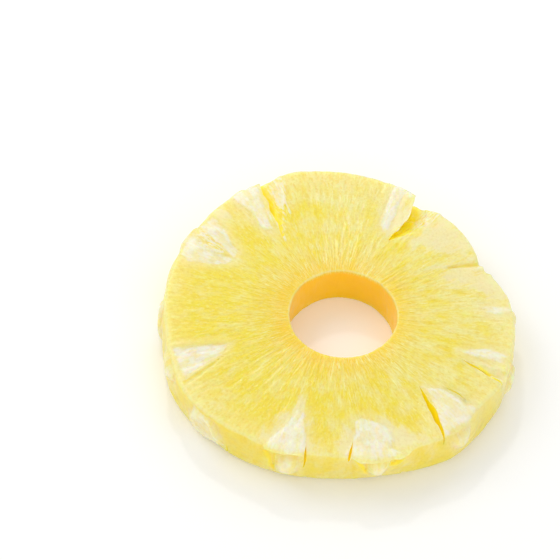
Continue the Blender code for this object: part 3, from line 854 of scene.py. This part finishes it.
class NodeTree:
    """Adds nodes to a material. An input is a number, a tuple or another node's output."""

    def __init__(self, name):
        self.material = bpy.data.materials.new(name)
        self.material.use_nodes = True
        self.tree = self.material.node_tree
        self.tree.nodes.clear()

    def add(self, kind, inputs=None, output=0, **settings):
        node = self.tree.nodes.new(kind)
        for name, value in settings.items():
            setattr(node, name, value)
        for key, value in (inputs or {}).items():
            if isinstance(value, bpy.types.NodeSocket):
                self.tree.links.new(value, node.inputs[key])
            else:
                node.inputs[key].default_value = value
        return node.outputs[output] if node.outputs else None

    def math(self, operation, first, second=0.0, clamp=False):
        return self.add("ShaderNodeMath", {0: first, 1: second}, operation=operation, use_clamp=clamp)

    def plus(self, first, second, clamp=False):
        return self.math("ADD", first, second, clamp)

    def times(self, first, second):
        return self.math("MULTIPLY", first, second)

    def larger(self, first, second):
        return self.math("MAXIMUM", first, second)

    def ramp(self, value, low, high, to_low=0.0, to_high=1.0):
        inputs = {"Value": value, "From Min": low, "From Max": high, "To Min": to_low, "To Max": to_high}
        return self.add("ShaderNodeMapRange", inputs, interpolation_type="SMOOTHSTEP")

    def spread(self, noise, to_low, to_high):
        """A noise, with its usual range turned into another."""
        return self.ramp(noise, *NOISE_RANGE, to_low, to_high)

    def mix(self, factor, first, second):
        return self.add("ShaderNodeMix", {0: factor, 6: first, 7: second}, output=2, data_type="RGBA")

    def noise(self, vector, scale, detail=2.0, roughness=0.5):
        inputs = {"Vector": vector, "Scale": scale, "Detail": detail, "Roughness": roughness}
        return self.add("ShaderNodeTexNoise", inputs)

    def attribute(self, name):
        return self.add("ShaderNodeAttribute", attribute_name=name, output=2)

    def finish(self, inputs):
        """The material, with its one shader set to these inputs."""
        surface = self.add("ShaderNodeBsdfPrincipled", inputs)
        self.add("ShaderNodeOutputMaterial", {"Surface": surface})
        return self.material


def radial_noise(nodes, x, y, radius, along, count, length, detail, roughness):
    """Noise drawn out along the radii: count cells to a radian, each length mm long."""
    across_x, across_y = (nodes.times(nodes.math("DIVIDE", place, radius), count) for place in (x, y))
    cells = {0: across_x, 1: across_y, 2: nodes.times(along, 1.0 / (length * MM))}
    return nodes.noise(nodes.add("ShaderNodeCombineXYZ", cells), 1.0, detail, roughness)


def flesh_values(nodes):
    """The place about the fruit's axis, the stored regions and the noises, by name."""
    position = nodes.add("ShaderNodeTexCoord", output=3)
    shift = (-FRUIT_AXIS[0], -FRUIT_AXIS[1], 0.0)
    centred = nodes.add("ShaderNodeVectorMath", {0: position, 1: shift}, operation="ADD")
    x, y, z = nodes.add("ShaderNodeSeparateXYZ", {0: centred}).node.outputs
    radius = nodes.math("SQRT", nodes.plus(nodes.times(x, x), nodes.times(y, y)))
    along = nodes.plus(radius, z)
    values = {name: nodes.attribute(name) for name in REGIONS}
    for name, settings in CLOUDY_NOISES.items():
        values[name] = nodes.noise(position, *settings)
    for name, settings in RADIAL_NOISES.items():
        values[name] = radial_noise(nodes, x, y, radius, along, *settings)
    wavy_x = nodes.plus(x, nodes.times(values["mottle"], THREAD_WAVE))
    threads = radial_noise(nodes, wavy_x, y, radius, along, *THREADS)
    return SimpleNamespace(x=x, y=y, z=z, radius=radius, threads=threads, **values)


def plain_flesh(nodes, at):
    """Cloudy yellow flesh, paler towards the east, with its strands and threads."""
    side = nodes.ramp(nodes.plus(at.x, nodes.times(at.y, 0.5)), -32.0 * MM, 26.0 * MM)
    tone = nodes.plus(nodes.times(side, 0.6), nodes.spread(at.coarse, -0.35, 0.45))
    tone = nodes.plus(tone, nodes.spread(at.blotches, -0.3, 0.3))
    tone = nodes.plus(tone, nodes.spread(at.clouds, -0.2, 0.2), True)
    colour = nodes.mix(tone, DEEP_FLESH, PALE_FLESH)
    for start, full, share, tint in RADIAL_COLOURS:
        colour = nodes.mix(nodes.ramp(at.radius, start * MM, full * MM, 0.0, share), colour, tint)
    near_core = nodes.ramp(at.radius, 30.0 * MM, 18.0 * MM, 0.25, 0.6)
    dark = nodes.times(nodes.ramp(at.strands, 0.5, 0.32), near_core)
    light = nodes.times(nodes.ramp(at.wisps, 0.53, 0.70), nodes.ramp(at.clouds, 0.4, 0.6, 0.3))
    light = nodes.times(light, nodes.ramp(at.radius, 26.0 * MM, 17.0 * MM, 0.15, 0.9))
    threads = nodes.times(nodes.ramp(at.threads, 0.58, 0.68), nodes.ramp(at.clouds, 0.4, 0.6, 0.1, 0.8))
    threads = nodes.times(threads, nodes.ramp(side, 0.0, 0.6, 0.35, 1.0))
    colour = nodes.mix(dark, colour, DARK_STRAND)
    colour = nodes.mix(light, colour, LIGHT_STRAND)
    colour = nodes.mix(threads, colour, LIGHT_STRAND)
    colour = nodes.mix(nodes.ramp(at.flecks, 0.52, 0.70, 0.0, 0.4), colour, LIGHT_STRAND)
    return nodes.mix(nodes.ramp(at.flecks, 0.48, 0.30, 0.0, 0.4), colour, DARK_STRAND)


def rim_flesh(nodes, at):
    """The rim's yellow, paler in its upper part at the east."""
    colour = nodes.mix(nodes.ramp(at.blotches, 0.4, 0.7, 0.0, 0.3), RIM_FLESH, PALE_FLESH)
    east = nodes.ramp(at.x, 26.0 * MM, 35.0 * MM, 0.0, 0.4)
    return nodes.mix(nodes.times(nodes.ramp(at.z, 3.0 * MM, 9.0 * MM), east), colour, MARGIN_FLESH)


def cream_share(nodes, at, uneven):
    """How cream the flesh is, in soft areas, round the eyes and on the borders, where it is partly a painted
    edge highlight.
    """
    soft = nodes.plus(nodes.plus(at.cream, uneven), nodes.spread(at.coarse, -2.0, 1.5))
    around_eyes = nodes.ramp(at.patch, -3.5, 0.5, 0.0, 0.5)
    share = nodes.larger(nodes.ramp(soft, -1.5, 2.5, 0.0, 0.75), around_eyes)
    share = nodes.times(share, nodes.ramp(at.rim, 0.0, 1.0, 1.0, 0.5))
    return nodes.larger(share, nodes.times(at.border, 0.7))


def white_share(nodes, at, uneven):
    """How white the flesh is, in the eyes, in flakes among crumbs and on the bright strands, which are partly
    painted wet highlights.
    """
    start, full = nodes.ramp(at.rim, 0.0, 1.0, -0.3, -1.2), nodes.ramp(at.rim, 0.0, 1.0, 0.5, 1.6)
    solid = nodes.ramp(nodes.plus(at.patch, nodes.times(uneven, 0.3)), start, full)
    fullness = nodes.ramp(nodes.plus(at.strands, at.blotches), 0.8, 1.18, 0.35, 1.0)
    fullness = nodes.times(fullness, nodes.ramp(at.rim, 0.0, 1.0, 1.0, 0.7))
    flakes = nodes.ramp(nodes.plus(at.wisps, at.flecks), 0.94, 1.12, 0.0, 0.85)
    streak = nodes.times(at.streak, nodes.ramp(at.mottle, 0.35, 0.6, 0.35, 0.95))
    bright = nodes.larger(nodes.times(at.crumbs, flakes), streak)
    return nodes.larger(nodes.times(solid, fullness), bright)


def flesh_material():
    nodes = NodeTree("pineapple_flesh")
    at = flesh_values(nodes)
    uneven = nodes.plus(nodes.spread(at.strands, -0.6, 0.6), nodes.spread(at.mottle, -0.7, 0.7))
    colour = nodes.mix(nodes.times(at.rim, 0.85), plain_flesh(nodes, at), rim_flesh(nodes, at))
    colour = nodes.mix(cream_share(nodes, at, uneven), colour, CREAM_FLESH)
    colour = nodes.mix(white_share(nodes, at, uneven), colour, WHITE_TISSUE)
    # Painted shade: a deeper yellow in the soft cuts stands in for the shade in their dents
    colour = nodes.mix(nodes.ramp(at.soft_cut, 0.2, 1.0, 0.0, 0.7), colour, DEEP_FLESH)
    colour = nodes.mix(nodes.ramp(at.grain, 0.55, 0.3, 0.0, 0.14), colour, GRAIN_SHADE)
    # Painted shade and light: the hole's wall gets a deeper orange, and the cuts a bright golden colour
    colour = nodes.mix(at.cavity, nodes.mix(at.hole, colour, HOLE_FLESH_AND_SHADE), CUT_PAINTED_LIGHT)
    height = nodes.plus(nodes.times(at.flecks, 0.5), nodes.times(at.grain, 0.5))
    bump = nodes.add("ShaderNodeBump", {"Strength": 0.35, "Distance": 0.25 * MM, "Height": height})
    return nodes.finish({
        "Base Color": colour,
        "Roughness": nodes.spread(at.mottle, 0.32, 0.5),
        "IOR": 1.36,
        "Subsurface Weight": 1.0,
        "Subsurface Radius": (1.0, 0.75, 0.25),
        "Subsurface Scale": 4.0 * MM,
        "Coat Weight": 0.5,
        "Coat Roughness": 0.16,
        "Coat IOR": 1.33,
        "Normal": bump,
        "Coat Normal": bump,
        # Painted glow: the cuts and the hole's wall give off light, though the flesh is no lamp
        "Emission Color": nodes.mix(at.cavity, nodes.mix(at.hole, NO_GLOW, HOLE_PAINTED_GLOW), CUT_PAINTED_GLOW),
        "Emission Strength": 0.3,
    })


def floor_material():
    nodes = NodeTree("pale_floor")
    cloudy = nodes.noise(nodes.add("ShaderNodeTexCoord", output=3), 8.0)
    return nodes.finish({
        "Base Color": FLOOR_WHITE,
        "Roughness": nodes.spread(cloudy, 0.45, 0.6),
        "Emission Color": FLOOR_WHITE,
        "Emission Strength": 0.08,
    })


def add_floor():
    corners = [(x * FLOOR_HALF, y * FLOOR_HALF, 0) for x, y in ((-1, -1), (1, -1), (1, 1), (-1, 1))]
    floor = mesh_object("floor", corners, [(0, 1, 2, 3)])
    floor.data.materials.append(floor_material())


def add_light(name, place, size, power):
    """A square softbox that faces the ring."""
    light = bpy.data.lights.new(name, "AREA")
    light.shape = "SQUARE"
    light.size = size
    light.energy = power
    obj = new_object(name, light)
    obj.location = place
    obj.rotation_euler = (-Vector(place)).to_track_quat("-Z", "Y").to_euler()


def light_scene():
    world = bpy.data.worlds.new("studio")
    bpy.context.scene.world = world
    world.use_nodes = True
    background = world.node_tree.nodes["Background"]
    background.inputs["Color"].default_value = (1.0, 1.0, 1.0, 1.0)
    background.inputs["Strength"].default_value = SKY_STRENGTH
    for light in LIGHTS:
        add_light(*light)


def add_camera():
    """The photograph's camera, turned so that the ring lands where it is there."""
    elevation, roll = math.radians(VIEW_ELEVATION), math.radians(VIEW_ROLL)
    back = Vector((0.0, -math.cos(elevation), math.sin(elevation)))
    level, upright = Vector((1.0, 0.0, 0.0)), Vector((0.0, math.sin(elevation), math.cos(elevation)))
    right = level * math.cos(roll) + upright * math.sin(roll)
    up = upright * math.cos(roll) - level * math.sin(roll)
    target = Vector((*FRUIT_AXIS, THICKNESS))
    place = target + back * VIEW_DISTANCE
    off_centre = [(pixel - IMAGE_SIZE / 2) / PIXELS_PER_MM * MM for pixel in AXIS_PIXEL]
    aim = target - right * off_centre[0] + up * off_centre[1]
    depth_axis = (place - aim).normalized()
    right_axis = up.cross(depth_axis).normalized()
    camera = bpy.data.cameras.new("camera")
    camera.sensor_width = SENSOR_WIDTH
    camera.lens = SENSOR_WIDTH * VIEW_DISTANCE / (IMAGE_SIZE / PIXELS_PER_MM * MM)
    camera.clip_start = 0.01
    rotation = Matrix((right_axis, depth_axis.cross(right_axis), depth_axis)).transposed()
    obj = new_object("camera", camera)
    obj.matrix_world = Matrix.Translation(place) @ rotation.to_4x4()
    bpy.context.scene.camera = obj


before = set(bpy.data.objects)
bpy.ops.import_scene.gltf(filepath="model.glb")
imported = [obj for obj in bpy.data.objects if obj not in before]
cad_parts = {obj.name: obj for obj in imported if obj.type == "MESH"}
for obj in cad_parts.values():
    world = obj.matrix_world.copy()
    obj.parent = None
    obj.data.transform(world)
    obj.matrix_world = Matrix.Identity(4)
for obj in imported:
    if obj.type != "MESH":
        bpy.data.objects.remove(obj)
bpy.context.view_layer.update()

ring = build_ring()
ring.data.materials.append(flesh_material())
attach(ring, "root")
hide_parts("pineapple_ring")

add_floor()
light_scene()
add_camera()
bpy.context.scene.view_settings.view_transform = "Standard"
